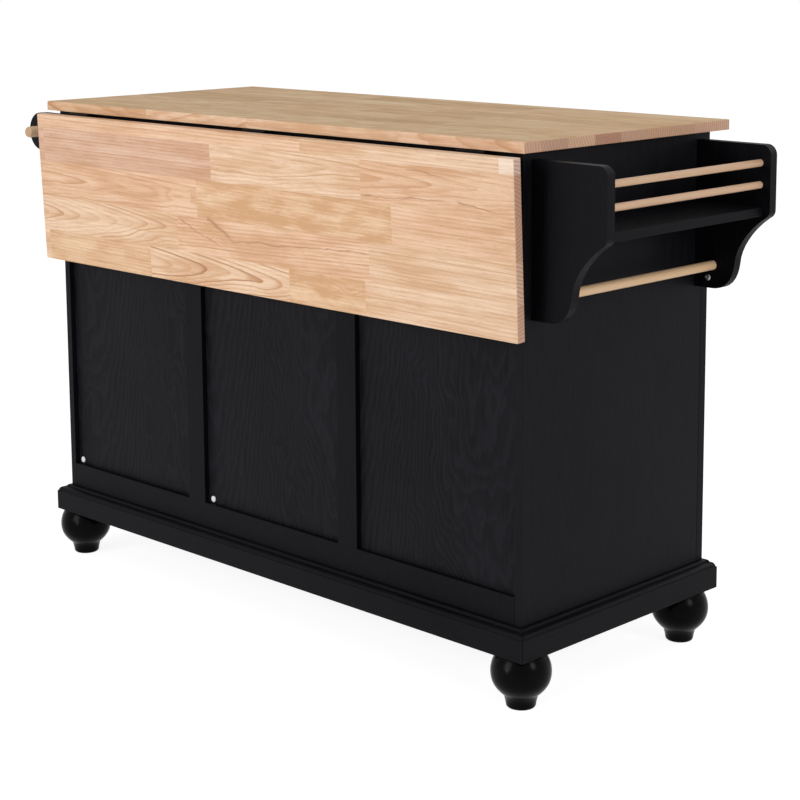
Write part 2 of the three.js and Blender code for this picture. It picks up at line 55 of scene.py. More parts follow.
# ---------------------------------------------------------------- finishes


class Value:
    """One socket of a recipe. Sums written with it add Math nodes."""

    def __init__(self, recipe, socket):
        self.recipe = recipe
        self.socket = socket

    def math(self, operation, *operands):
        return self.recipe.node(
            "ShaderNodeMath", {"operation": operation}, dict(enumerate(operands))
        )["Value"]

    def __add__(self, other):
        return self.math("ADD", self, other)

    __radd__ = __add__

    def __sub__(self, other):
        return self.math("SUBTRACT", self, other)

    def __rsub__(self, other):
        return self.math("SUBTRACT", other, self)

    def __mul__(self, other):
        return self.math("MULTIPLY", self, other)

    def __truediv__(self, other):
        return self.math("DIVIDE", self, other)

    def __pow__(self, other):
        return self.math("POWER", self, other)

    def __gt__(self, other):
        return self.math("GREATER_THAN", self, other)

    def fract(self):
        return self.math("FRACT", self)

    def floor(self):
        return self.math("FLOOR", self)

    def size(self):
        return self.math("ABSOLUTE", self)

    def smaller(self, other):
        return self.math("MINIMUM", self, other)

    def larger(self, other):
        return self.math("MAXIMUM", self, other)

    def between(self, low, high):
        """0 below low, 1 above high, and a smooth rise from one to the other."""
        sockets = {"Value": self, "From Min": low, "From Max": high}
        settings = {"interpolation_type": "SMOOTHSTEP"}
        return self.recipe.node("ShaderNodeMapRange", settings, sockets)["Result"]


class Recipe:
    """A node tree in the making."""

    def __init__(self, tree):
        self.tree = tree

    def feed(self, socket, value):
        if isinstance(value, Value):
            self.tree.links.new(value.socket, socket)
        elif isinstance(value, tuple) and len(value) == 3 and socket.type == "RGBA":
            socket.default_value = (*value, 1)
        else:
            socket.default_value = value

    def node(self, kind, settings=None, sockets=None):
        made = self.tree.nodes.new(kind)
        for key, value in (settings or {}).items():
            if key == "stops":
                set_stops(made.color_ramp, value)
            else:
                setattr(made, key, value)
        for key, value in (sockets or {}).items():
            self.feed(made.inputs[key] if isinstance(key, int) else pick(made.inputs, key), value)
        return {s.name: Value(self, s) for s in made.outputs if s.enabled}

    def seen(self):
        """1 where the camera, a reflection or a refraction looks at the surface."""
        path = self.node("ShaderNodeLightPath")
        return path["Is Camera Ray"].larger(path["Is Glossy Ray"]).larger(path["Is Transmission Ray"])

    def choose(self, amount, first, second):
        return self.node("ShaderNodeMixShader", {}, {0: amount, 1: first, 2: second})["Shader"]


class Finish(Recipe):
    """A material with its surface shader and the places on the object."""

    def __init__(self, name):
        self.material = bpy.data.materials.new(name)
        self.material.use_nodes = True
        super().__init__(self.material.node_tree)
        self.surface = self.tree.nodes["Principled BSDF"]
        spot = self.node("ShaderNodeTexCoord")
        self.place = spot["Object"]
        parts = self.node("ShaderNodeSeparateXYZ", {}, {0: self.place})
        self.x, self.y, self.z = parts["X"], parts["Y"], parts["Z"]
        facing = self.node("ShaderNodeSeparateXYZ", {}, {0: spot["Normal"]})
        self.facing_x, self.facing_y, self.facing_z = (facing[a].size() for a in "XYZ")

    def mix(self, amount, first, second, blend="MIX"):
        settings = {"data_type": "RGBA", "blend_type": blend}
        sockets = {"Factor": amount, "A": first, "B": second}
        return self.node("ShaderNodeMix", settings, sockets)["Result"]

    def point(self, x, y, z):
        return self.node("ShaderNodeCombineXYZ", {}, {0: x, 1: y, 2: z})["Vector"]

    def noise(self, point, detail, scale=1.0, roughness=0.5):
        sockets = {"Vector": point, "Scale": scale, "Detail": detail, "Roughness": roughness}
        return self.node("ShaderNodeTexNoise", {}, sockets)["Fac"]

    def chance(self, number):
        """A number from 0 to 1 that is the same wherever the given number is."""
        settings = {"noise_dimensions": "1D"}
        return self.node("ShaderNodeTexWhiteNoise", settings, {"W": number})["Value"]

    def table(self, number, stops):
        """The colour that the table gives for a whole number."""
        share = (number + 0.5) / len(stops)
        ramp = [(i / len(stops), colour) for i, colour in enumerate(stops)]
        return self.node("ShaderNodeValToRGB", {"stops": ramp}, {0: share})["Color"]

    def relief(self, height, strength, distance):
        sockets = {"Strength": strength, "Distance": distance, "Height": height}
        bump = self.node("ShaderNodeBump", {}, sockets)["Normal"]
        self.feed(self.surface.inputs["Normal"], bump)

    def set(self, **values):
        for key, value in values.items():
            self.feed(self.surface.inputs[key.replace("_", " ")], value)
        return self.material


def set_stops(ramp, stops):
    ramp.interpolation = "CONSTANT"
    while len(ramp.elements) < len(stops):
        ramp.elements.new(1.0)
    for element, (position, colour) in zip(ramp.elements, stops):
        element.position = position
        element.color = (*colour, 1)


def pick(sockets, name):
    return next(s for s in sockets if s.name == name and s.enabled)


# Glued-up rubberwood. Each stave has its tone, the line across the slab from which its growth
# rings open, how fast they run out along the stave, and how strong its figure and mottling are.
TONES = {
    "paleness_and_shade": (0.870, 0.690, 0.540),
    "cream": (0.795, 0.565, 0.390),
    "pink": (0.700, 0.462, 0.330),
    "peach": (0.775, 0.520, 0.348),
    "gold": (0.762, 0.522, 0.330),
    "tan": (0.690, 0.450, 0.275),
}
EARLY_WOOD = (1.09, 1.13, 1.18)  # tints of a stave's tone
LATE_WOOD = (0.83, 0.70, 0.59)
# Painted light: the yellow-green tint that the light from above gives the worktop's top face
TOP_LIGHT_TINT = (0.905, 0.925, 0.760)
END_TINTS = ((0.66, 0.53, 0.53), (0.98, 0.93, 0.98))
RING_BROWN = (0.42, 0.205, 0.10)
HEART_BROWN = (0.42, 0.205, 0.11)
PORE_BROWN = (0.46, 0.26, 0.14)
END_RING_BROWN = (0.36, 0.175, 0.10)
END_PORE_BROWN = (0.27, 0.14, 0.08)
SLAB_LENGTH = 1260  # worktop and leaf, in mm
RING_PACE = 150.0  # rings crossed per metre away from the pith line
PITH_DEPTH = 0.012  # how deep the pith line lies under the surface, in metres
RUN_OUT = 26.0  # rings crossed per metre along the stave, at most
PITH_REACH = 0.7  # pith lines lie within this distance of the slab's first edge, in metres


def stave(end, tone, pith, run, figure, mottle):
    """A stave up to `end` mm along its row, with its pith line in mm from the first edge."""
    return end * MM, TONES[tone], (pith * MM / PITH_REACH, run / RUN_OUT / 2 + 0.5, figure), mottle


def ring_eye(along, across, eye):
    """Rings that close around one spot, where a branch once lay under the surface."""
    at_along, at_across, length, width, rings = eye
    u = (along - at_along * MM) / (length * MM)
    v = (across - at_across * MM) / (width * MM)
    return (u * u + v * v + 1) ** -2.0 * rings


def heart_streak(along, across, streak):
    """A dark streak from one spot to another, thinning out towards its second end."""
    from_along, from_across, to_along, to_across, width = streak
    reach = math.hypot(to_along - from_along, to_across - from_across)
    lean = math.atan2(to_across - from_across, to_along - from_along)
    a, b = along - from_along * MM, across - from_across * MM
    u = a * math.cos(lean) + b * math.sin(lean)
    v = (b * math.cos(lean) - a * math.sin(lean)).size()
    on = u.between(0, 0.08 * reach * MM) * (1 - u.between(0.55 * reach * MM, reach * MM))
    return on * (1 - v.between(0, width * MM))


def stave_number(along, across, edges, rows):
    """The number of the stave that a place lies on, counted row by row."""
    starts = [across > edge * MM for edge in edges]
    number = 0.0
    first = 0
    for row, reached, passed in zip(rows, [1.0, *starts], [*starts, 0.0]):
        counted = float(first)
        for end, *_ in row[:-1]:
            counted = (along > end) + counted
        number = (reached - passed) * counted + number
        first += len(row)
    return number


def end_grain(wood, number, across, through, pith, wobble, tone):
    """The slab's two ends: rings cut across, open pores and a redder tone."""
    centre = wood.chance(number + 11.0) * 0.06 - 0.03
    beside = across - pith * 0.2 - centre - wood.chance(number + 3.0) * 0.4
    below = through + wood.chance(number + 7.0) * 0.08
    radius = (beside * beside + below * below) ** 0.5
    arcs = (radius * 165.0 + wobble * 0.9).fract().between(0.3, 0.95)
    pores = wood.noise(wood.point(0.0, across * 1900.0, through * 1900.0), detail=1.0)
    tint = wood.mix(wood.chance(number + 5.0), *END_TINTS)
    colour = wood.mix(1.0, tone, tint, "MULTIPLY")
    colour = wood.mix(arcs * 0.5, colour, END_RING_BROWN)
    return wood.mix(pores.between(0.55, 0.75) * 0.4, colour, END_PORE_BROWN)


def butcher_block(name, corner, across_axis, edges, rows, eyes=(), streaks=(), painted_top_light=1.0):
    """corner: where the staves are measured from, on the slab's face. edges: where each further
    row starts across the slab, in mm. rows: each row's staves."""
    wood = Finish(name)
    through_axis = "y" if across_axis == "z" else "z"
    along = corner.x - wood.x
    across = getattr(corner, across_axis) - getattr(wood, across_axis)
    through = getattr(corner, through_axis) - getattr(wood, through_axis)
    number = stave_number(along, across, edges, rows)
    tones, facts, mottlings = zip(*(one[1:] for row in rows for one in row))
    tone = wood.table(number, tones)
    fact = wood.node("ShaderNodeSeparateColor", {}, {0: wood.table(number, facts)})
    mottled = wood.table(number, [(amount,) * 3 for amount in mottlings])
    mottling = wood.node("ShaderNodeSeparateColor", {}, {0: mottled})["Red"]
    pith = fact["Red"] * PITH_REACH
    run = (fact["Green"] - 0.5) * (2 * RUN_OUT)
    figure = fact["Blue"]
    apart = number * 3.37

    def grain(along_scale, cross_scale, detail, roughness=0.5):
        """Noise drawn out along the staves, another one for each of them."""
        spot = (along * along_scale + apart, across * cross_scale, through * cross_scale)
        return wood.noise(wood.point(*spot), detail=detail, roughness=roughness)

    # Growth rings, seen as arches, straight lines or loops
    slow = grain(4.0, 11.0, 2.0)
    quick = grain(20.0, 60.0, 3.0)
    bowed = across + (slow - 0.5) * 0.022 + (quick - 0.5) * 0.003 + through * 0.6
    away = bowed - pith
    rings = (away * away + PITH_DEPTH**2) ** 0.5 * RING_PACE + run * along
    rings = rings + slow * 2.2 + quick * 0.35 + apart
    for eye in eyes:
        rings = rings + ring_eye(along, bowed, eye)
    ring = rings.fract()
    late = ring.between(0.25, 0.95) ** 1.6 * (1 - ring.between(0.955, 1.0))
    strong = wood.chance(rings.floor() + apart)
    line = late * figure * (0.45 + strong * strong)

    # Fibres, pores, streaks and mottling
    fibre = grain(11.0, 330.0, 5.0, 0.68)
    pores = grain(70.0, 1100.0, 1.0).between(0.62, 0.76)
    flecks = grain(42.0, 420.0, 2.0).between(0.57, 0.72)
    streak = grain(2.4, 62.0, 4.0).between(0.34, 0.68)
    spots = grain(17.0, 40.0, 3.0).between(0.38, 0.66) * mottling
    broad = grain(6.0, 21.0, 2.0).between(0.42, 0.68)
    dark = streak * 0.46 + fibre.between(0.36, 0.66) * 0.44 + line * 1.05
    dark = dark + spots * 0.55 + flecks * 0.26 + broad * 0.42 - 0.16
    colour = wood.mix(1.0, tone, wood.mix(dark, EARLY_WOOD, LATE_WOOD), "MULTIPLY")
    colour = wood.mix((line - 0.42).larger(0.0) * 1.2, colour, RING_BROWN)
    colour = wood.mix(pores * 0.46, colour, PORE_BROWN)
    if streaks:
        wavy = across + (quick - 0.5) * 0.016 + (slow - 0.5) * 0.02
        scar = 0.0
        for one in streaks:
            scar = heart_streak(along, wavy, one) + scar
        colour = wood.mix(scar.smaller(1.0) * 0.75, colour, HEART_BROWN)

    # Painted light: upward faces take the tint that the light from above gives them; the wood is the
    # same colour there
    top = wood.facing_z.between(0.6, 0.8) * painted_top_light
    colour = wood.mix(top, colour, wood.mix(1.0, colour, TOP_LIGHT_TINT, "MULTIPLY"))
    ends = end_grain(wood, number, across, through, pith, quick, tone)
    colour = wood.mix(wood.facing_x.between(0.6, 0.8), colour, ends)

    wood.relief(fibre * 0.5 - pores * 0.8 - line * 0.3 - flecks * 0.2, 0.25, 0.0004)
    return wood.set(
        Base_Color=colour,
        Roughness=0.50 + fibre * 0.14 + pores * 0.15,
        Specular_IOR_Level=0.2,
    )


LEAF_EDGES = (26, 94.5, 163, 231.5)
LEAF_ROWS = (
    (
        stave(774, "peach", 90, 2, 0.45, 0.1),
        stave(1230, "cream", 75, 3, 0.3, 0.1),
        stave(SLAB_LENGTH, "paleness_and_shade", 40, 2, 0.1, 0),
    ),
    (
        stave(19, "pink", 160, 1, 0.2, 0),
        stave(532, "pink", 165, 1, 0.45, 0.1),
        stave(920, "cream", 47, 6, 0.55, 0.3),
        stave(SLAB_LENGTH, "peach", 56, 8, 0.5, 0.15),
    ),
    (
        stave(488, "peach", 132, 7, 0.6, 0.15),
        stave(990, "gold", 215, 8, 0.35, 1.0),
        stave(SLAB_LENGTH, "peach", 220, 3, 0.4, 0.2),
    ),
    (
        stave(428, "cream", 200, 17, 0.55, 0.1),
        stave(934, "peach", 262, -5, 0.75, 0.35),
        stave(SLAB_LENGTH, "cream", 290, 2, 0.38, 0.1),
    ),
    (
        stave(18, "cream", 330, 2, 0.2, 0),
        stave(342, "gold", 345, 2, 0.4, 0.5),
        stave(732, "cream", 266, 16, 0.85, 0.05),
        stave(922, "gold", 330, 5, 0.35, 1.0),
        stave(SLAB_LENGTH, "cream", 345, 3, 0.28, 0.15),
    ),
)
# Eyes: place along and across, half length and half width in mm, and rings that close there.
# Streaks: where they start and end, along and across, and their half width in mm.
LEAF_EYES = (
    (432, 132, 62, 13, 2.1),
    (350, 216, 70, 12, 1.2),
    (885, 262, 38, 20, 2.4),
    (830, 150, 80, 12, 1.3),
)
LEAF_STREAKS = (
    (512, 161, 596, 199, 5.5),
    (572, 196, 800, 186, 2.2),
    (740, 190, 1010, 180, 1.8),
    (1022, 32, 1135, 46, 2.2),
    (1136, 78, 1262, 91, 2.4),
    (918, 86, 1150, 79, 1.8),
    (430, 172, 575, 220, 2.0),
)
TOP_ROW_WIDTH = 66.5  # in mm, as are the next two
TOP_FIRST_EDGE = 39
TOP_FIRST_MIDDLE = 6  # of the first row, which is cut narrower
TOP_EDGES = tuple(TOP_FIRST_EDGE + row * TOP_ROW_WIDTH for row in range(8))
TOP_TONES = ("cream", "gold", "peach", "cream", "tan")
TOP_END_TONES = ("peach", "cream", "gold", "peach", "cream", "tan", "gold", "peach", "cream")


def top_rows():
    """The worktop's staves: lengths and figure drawn by lot, tones in the order of its end."""
    lot = random.Random(7)
    rows = []
    for index, end_tone in enumerate(TOP_END_TONES):
        middle = index * TOP_ROW_WIDTH + TOP_FIRST_MIDDLE
        count = 3 if index % 2 else 4
        shares = [lot.uniform(0.75, 1.25) for _ in range(count)]
        row = []
        reached = 0.0
        for place, share in enumerate(shares):
            reached += share / sum(shares)
            end = reached * SLAB_LENGTH
            tone = end_tone if place == count - 1 else lot.choice(TOP_TONES)
            pith = max(0, middle + lot.choice((-1, 1)) * lot.uniform(0, 95))
            run = lot.uniform(-14, 14)
            row.append(stave(end, tone, pith, run, lot.uniform(0.3, 0.9), lot.random()))
        rows.append(tuple(row))
    return tuple(rows)


def plain_wood(name, colour, dark, grain_axis, roughness):
    """Straight-grained wood, without staves, for dowels and drawer boxes."""
    wood = Finish(name)
    stretch = {axis: (14.0 if axis == grain_axis else 520.0) for axis in "xyz"}
    scaled = [getattr(wood, axis) * stretch[axis] for axis in "xyz"]
    fibre = wood.noise(wood.point(*scaled), detail=4.0, roughness=0.6)
    broad = [part * 0.12 for part in scaled]
    streak = wood.noise(wood.point(*broad), detail=3.0)
    pores = wood.noise(wood.point(*(part * 2.6 for part in scaled)), detail=1.0).between(0.66, 0.8)
    shade = wood.mix(streak.between(0.3, 0.72), colour, dark)
    shade = wood.mix((fibre - 0.45).larger(0.0) * 0.8, shade, (0.86, 0.68, 0.48))
    shade = wood.mix(pores * 0.3, shade, (0.38, 0.22, 0.12))
    ends = getattr(wood, "facing_" + grain_axis).between(0.6, 0.85)
    shade = wood.mix(ends * 0.6, shade, (0.40, 0.22, 0.14))
    wood.relief(fibre - pores, 0.2, 0.0003)
    return wood.set(Base_Color=shade, Roughness=roughness + fibre * 0.15, Specular_IOR_Level=0.3)


BLACK_LIT = (0.0112, 0.0109, 0.0140)
BLACK_DEEP = (0.0012, 0.0012, 0.0018)
BLACK_GROOVE = (0.0008, 0.0008, 0.0010)
VENEER_LEAF = 0.36  # width of one leaf of veneer, in metres


def black_paint(name, grain_axis, grain, figure, paleness_and_shade):
    """Black paint over open-grained wood: fine grooves along one axis, arched figure on veneer.
    grain, figure: how strong these are. The last argument: how light the paint is drawn; values below
    1 darken a copy, partly as painted shade for the rack's shaded inside."""
    paint = Finish(name)
    stretch = {axis: (19.0 if axis == grain_axis else 260.0) for axis in "xyz"}
    scaled = [getattr(paint, axis) * stretch[axis] for axis in "xyz"]
    groove = paint.noise(paint.point(*scaled), detail=4.0, roughness=0.65)
    grooves = groove.between(0.53, 0.68)
    pores = paint.noise(paint.point(*(part * 3.3 for part in scaled)), detail=1.0).between(0.6, 0.75)
    cloud = paint.noise(paint.place, scale=5.0, detail=3.0)
    speck = paint.noise(paint.place, scale=900.0, detail=1.0)

    # Arches of veneer leaves, side by side
    leaves = (paint.x + paint.y) / VENEER_LEAF + 0.32
    warp = paint.noise(paint.point(paint.x * 9.0, paint.y * 9.0, paint.z * 4.0), detail=2.0)
    ripple = paint.noise(paint.point(paint.x * 60.0, paint.y * 60.0, paint.z * 22.0), detail=2.0)
    across = leaves.fract() - 0.5 + (warp - 0.5) * 0.35
    rings = across * across * 44.0 - paint.z * 15.0 + warp * 9.0 + ripple * 1.3
    rings = rings + leaves.floor() * 3.3
    ring = rings.fract()
    line = ring.between(0.3, 0.9) * (1 - ring.between(0.93, 1.0)) * figure

    lift = (groove.between(0.3, 0.7) - 0.5) * grain + (cloud - 0.5) * 0.7 + line * 0.34 + 0.42
    lit = tuple(part * paleness_and_shade for part in BLACK_LIT)
    shade = paint.mix(lift.smaller(1.0).larger(0.0), BLACK_DEEP, lit)
    shade = paint.mix((grooves * 0.55 + pores * 0.3) * grain, shade, BLACK_GROOVE)
    height = speck * 0.06 - grooves * (0.7 * grain) - pores * (0.4 * grain) + line * 0.3
    paint.relief(height, 0.5, 0.0006)
    return paint.set(
        Base_Color=shade,
        Roughness=0.42 + cloud * 0.1 + grooves * 0.12,
        Specular_IOR_Level=0.06,
        Specular_Tint=(0.92, 0.92, 1.0),
    )


def gloss_black(name, roughness):
    """Sprayed gloss with a little orange peel and turning marks, on the feet and leaf hinges."""
    paint = Finish(name)
    peel = paint.noise(paint.place, scale=260.0, detail=2.0)
    cloud = paint.noise(paint.place, scale=22.0, detail=3.0)
    turning = (paint.z * 900.0 + cloud * 2.0).fract().between(0.7, 1.0)
    shade = paint.mix(cloud.between(0.3, 0.7), (0.0004, 0.0004, 0.0006), (0.0022, 0.0022, 0.0030))
    paint.relief(peel * 0.5 + turning * 0.2, 0.1, 0.0004)
    return paint.set(
        Base_Color=shade,
        Roughness=roughness + cloud * 0.08,
        Specular_IOR_Level=0.045,
    )


def metal(name, colour, roughness, brushed_axis=None):
    """Plated or brushed steel, with spangle, rubbing marks and finger smears."""
    plate = Finish(name)
    along = {axis: (40.0 if axis == brushed_axis else 1400.0) for axis in "xyz"}
    scaled = [getattr(plate, axis) * along[axis] for axis in "xyz"]
    brush = plate.noise(plate.point(*scaled), detail=2.0)
    spangle = plate.noise(plate.place, scale=240.0, detail=2.0)
    smear = plate.noise(plate.place, scale=35.0, detail=3.0)
    dark = tuple(part * 0.78 for part in colour)
    shade = plate.mix(spangle.between(0.3, 0.7) * 0.5 + smear * 0.3, colour, dark)
    plate.relief(brush, 0.12, 0.0002)
    worn = roughness + smear * 0.16 + brush * 0.06
    return plate.set(Base_Color=shade, Metallic=1.0, Roughness=worn)


def plastic(name, colour):
    """Moulded plastic with a fine grain and a slightly uneven tone."""
    cap = Finish(name)
    grain = cap.noise(cap.place, scale=1600.0, detail=1.0)
    cloud = cap.noise(cap.place, scale=90.0, detail=2.0)
    shade = cap.mix(cloud * 0.4, colour, tuple(part * 0.88 for part in colour))
    cap.relief(grain, 0.1, 0.0001)
    return cap.set(Base_Color=shade, Roughness=0.36 + cloud * 0.1)


worktop_wood = butcher_block("rubberwood worktop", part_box("worktop")[1], "y", TOP_EDGES, top_rows())
leaf_wood = butcher_block(
    "rubberwood leaf",
    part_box("drop_leaf")[1],
    "z",
    LEAF_EDGES,
    LEAF_ROWS,
    LEAF_EYES,
    LEAF_STREAKS,
    painted_top_light=0.0,
)
rail_wood = plain_wood("rail wood", (0.70, 0.465, 0.305), (0.58, 0.365, 0.225), "y", 0.42)
bar_wood = plain_wood("bar wood", (0.80, 0.55, 0.345), (0.71, 0.465, 0.265), "y", 0.42)
drawer_wood = plain_wood("drawer side wood", (0.72, 0.55, 0.36), (0.62, 0.45, 0.27), "y", 0.55)
panel_black = black_paint("black paint, veneered panels", "z", grain=0.45, figure=1.0, paleness_and_shade=1.0)
side_black = black_paint("black paint, plain panels", "z", grain=0.35, figure=0.1, paleness_and_shade=1.0)
# Partly painted shade: the copies below are drawn darker than the panels, which also darkens the
# rack's shaded plates and shelf
upright_black = black_paint("black paint, upright grain", "z", grain=0.4, figure=0.1, paleness_and_shade=0.55)
lying_black = black_paint("black paint, lengthways grain", "x", grain=0.4, figure=0.1, paleness_and_shade=0.62)
cross_black = black_paint("black paint, crossways grain", "y", grain=0.4, figure=0.1, paleness_and_shade=0.5)
foot_black = gloss_black("gloss black paint", roughness=0.17)
hinge_black = gloss_black("black lacquered steel", roughness=0.34)
zinc = metal("zinc-plated steel", (0.45, 0.45, 0.46), 0.32)
nickel = metal("brushed nickel", (0.50, 0.48, 0.45), 0.24, "z")
white_plastic = plastic("white plug plastic", (0.80, 0.80, 0.79))


# ---------------------------------------------------------------- pieces


def dress(name, material):
    materials = nodes[name].data.materials
    materials.clear()
    materials.append(material)


def soften(name, width, segments=2):
    """Rounds a CAD piece's sharp edges, which catch the light on the real one."""
    piece = nodes[name]
    weld = piece.modifiers.new("joined faces", "WELD")
    weld.merge_threshold = 0.00001
    bevel = piece.modifiers.new("eased edges", "BEVEL")
    bevel.width = width
    bevel.segments = segments
    bevel.limit_method = "ANGLE"
    bevel.angle_limit = math.radians(35)
    bevel.harden_normals = True
    piece.modifiers.new("even shading", "WEIGHTED_NORMAL").keep_sharp = True


def make_piece(name, mesh, body, material, replaced=()):
    piece = bpy.data.objects.new(name, mesh)
    bpy.context.scene.collection.objects.link(piece)
    mesh.materials.append(material)
    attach(piece, body)
    if replaced:
        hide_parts(*replaced)


def turned_mesh(name, outline, place, sides):
    """Turns an outline of (radius, height) points about +Z and puts it at a place."""
    work = bmesh.new()
    rings = []
    for radius, height in outline:
        if radius < 1e-7:
            rings.append([work.verts.new((0, 0, height))])
            continue
        ring = []
        for step in range(sides):
            angle = 2 * math.pi * step / sides
            ring.append(work.verts.new((radius * math.cos(angle), radius * math.sin(angle), height)))
        rings.append(ring)
    for lower, upper in zip(rings, rings[1:]):
        for step in range(sides):
            after = (step + 1) % sides
            corners = [lower[step % len(lower)], lower[after % len(lower)]]
            corners += [upper[after % len(upper)], upper[step % len(upper)]]
            unique = list(dict.fromkeys(corners))
            if len(unique) > 2:
                work.faces.new(unique)
    work.transform(place)
    bmesh.ops.recalc_face_normals(work, faces=work.faces)
    mesh = bpy.data.meshes.new(name)
    for face in work.faces:
        face.smooth = True
    for edge in work.edges:
        edge.smooth = len(edge.link_faces) != 2 or edge.calc_face_angle() < SHARP_TURN
    work.to_mesh(mesh)
    work.free()
    return mesh


def curve_points(points, count):
    """Points on a curve from the first point to the last, drawn towards those between."""
    degree = len(points) - 1
    drawn = []
    for step in range(1, count + 1):
        t = step / count
        shares = [math.comb(degree, i) * t**i * (1 - t) ** (degree - i) for i in range(degree + 1)]
        drawn.append(tuple(sum(s * p[axis] for s, p in zip(shares, points)) for axis in (0, 1)))
    return drawn


def arc_points(centre, radius, first, last, count):
    """Points of (radius, height) on a ball about the turning axis, angles in degrees."""
    points = []
    for step in range(count + 1):
        angle = math.radians(first + (last - first) * step / count)
        points.append((radius * math.cos(angle), centre + radius * math.sin(angle)))
    return points


def foot_outline():
    """Tapered stub, drawn-in belly, ball and tenon, in the CAD model's sizes."""
    sole, stub, stub_height = 20 * MM, 25.3 * MM, 8 * MM
    collar, collar_height = 28.5 * MM, 21 * MM
    pull_out, pull_up = 7 * MM, 5.5 * MM
    belly_height, shoulder_height = 36 * MM, 48 * MM
    ball, ball_height, top = 50.5 * MM, 61 * MM, 91 * MM
    tenon, tenon_length = 12 * MM, 32.7 * MM

    lowest = math.asin((shoulder_height - ball_height) / ball)
    highest = math.asin((top - ball_height) / ball)
    on_ball = arc_points(ball_height, ball, math.degrees(lowest), math.degrees(highest), 20)
    shoulder = on_ball[0]
    belly = shoulder[0] + (shoulder_height - belly_height) * math.tan(lowest)
    pull = (collar + pull_out, collar_height + pull_up)
    draw_in = ((collar, collar_height), pull, (belly, belly_height), shoulder)
    outline = [(0, 0), (sole, 0)]
    outline += curve_points(((sole, 0), (stub, 0), (stub, stub_height)), 6)
    outline += [(collar, collar_height), *curve_points(draw_in, 10)]
    outline += on_ball[1:]
    return [*outline, (tenon, top), (tenon, top + tenon_length), (0, top + tenon_length)]


def add_feet():
    outline = foot_outline()
    for end in ENDS:
        for place in PLACES:
            node = f"foot_{place}_{end}"
            low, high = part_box(node)
            at = Matrix.Translation(((low.x + high.x) / 2, (low.y + high.y) / 2, 0))
            mesh = turned_mesh(f"turned_{node}", outline, at, sides=72)
            make_piece(f"turned_{node}", mesh, "cabinet", foot_black, [node])


def add_dowels():
    """The three rails of the spice rack, and the towel bar with its domed ends."""
    dome, chamfer = 7 * MM, 0.5 * MM
    for node in ("rack_rail_upper", "rack_rail_lower", "rack_bar", "towel_bar"):
        low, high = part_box(node)
        radius = (high.z - low.z) / 2
        half = (high.y - low.y) / 2
        if node == "towel_bar":
            end = curve_points(((radius, half - dome), (radius, half), (0, half)), 8)
        else:
            end = [(radius, half - chamfer), (radius - chamfer, half), (0, half)]
        outline = [(r, -h) for r, h in reversed(end)]
        outline += [(radius, 0.0)] + end
        at = Matrix.Translation((low + high) / 2) @ Matrix.Rotation(math.pi / 2, 4, "X")
        mesh = turned_mesh(f"round_{node}", outline, at, sides=40)
        wood = rail_wood if node.startswith("rack_rail") else bar_wood
        make_piece(f"round_{node}", mesh, "cabinet", wood, [node])


KNOB_SEAT = 0.3 * MM  # height at which a knob's outline starts


def knob_outline():
    """A mushroom knob on its round foot plate, standing on the front's face."""
    foot, foot_top = 7.2 * MM, 1.3 * MM
    stem, stem_start, waist, waist_height, neck = 6 * MM, 1.9 * MM, 5 * MM, 4.5 * MM, 7 * MM
    radius, flare_height, rim_height = 15 * MM, 9 * MM, 15.6 * MM
    shoulder_height, face, face_height = 18 * MM, 11.5 * MM, 21.2 * MM
    crown, reach = 6 * MM, 24 * MM
    outline = [(0, KNOB_SEAT), (foot, KNOB_SEAT), (foot, foot_top), (stem, stem_start)]
    outline += curve_points(((stem, stem_start), (waist, waist_height), (stem, neck)), 5)
    outline += curve_points(((stem, neck), (radius, flare_height), (radius, rim_height)), 8)
    shoulder = (radius, shoulder_height)
    outline += curve_points(((radius, rim_height), shoulder, (face, face_height)), 6)
    outline += curve_points(((face, face_height), (crown, reach), (0, reach)), 6)
    return outline


def add_knobs():
    outline = knob_outline()
    knobs = {f"door_knob_{end}": f"{end}_door" for end in ENDS}
    knobs.update({f"drawer_knob_{level}": f"{level}_drawer" for level in LEVELS})
    for node, body in knobs.items():
        low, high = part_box(node)
        at = Matrix.Translation(((low.x + high.x) / 2, high.y + KNOB_SEAT, (low.z + high.z) / 2))
        at = at @ Matrix.Rotation(math.pi / 2, 4, "X")
        mesh = turned_mesh(f"turned_{node}", outline, at, sides=48)
        make_piece(f"turned_{node}", mesh, body, nickel, [node])


def add_plugs():
    for node in ("plug_end", "plug_middle"):
        low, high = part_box(node)
        radius, thickness = (high.x - low.x) / 2, high.y - low.y
        edge = (radius, thickness * 0.45)
        outline = [(0, 0), (radius, 0), edge]
        outline += curve_points((edge, (radius, thickness), (0, thickness)), 7)
        at = Matrix.Translation(((low.x + high.x) / 2, low.y, (low.z + high.z) / 2))
        at = at @ Matrix.Rotation(-math.pi / 2, 4, "X")
        mesh = turned_mesh(f"domed_{node}", outline, at, sides=36)
        make_piece(f"domed_{node}", mesh, "cabinet", white_plastic, [node])


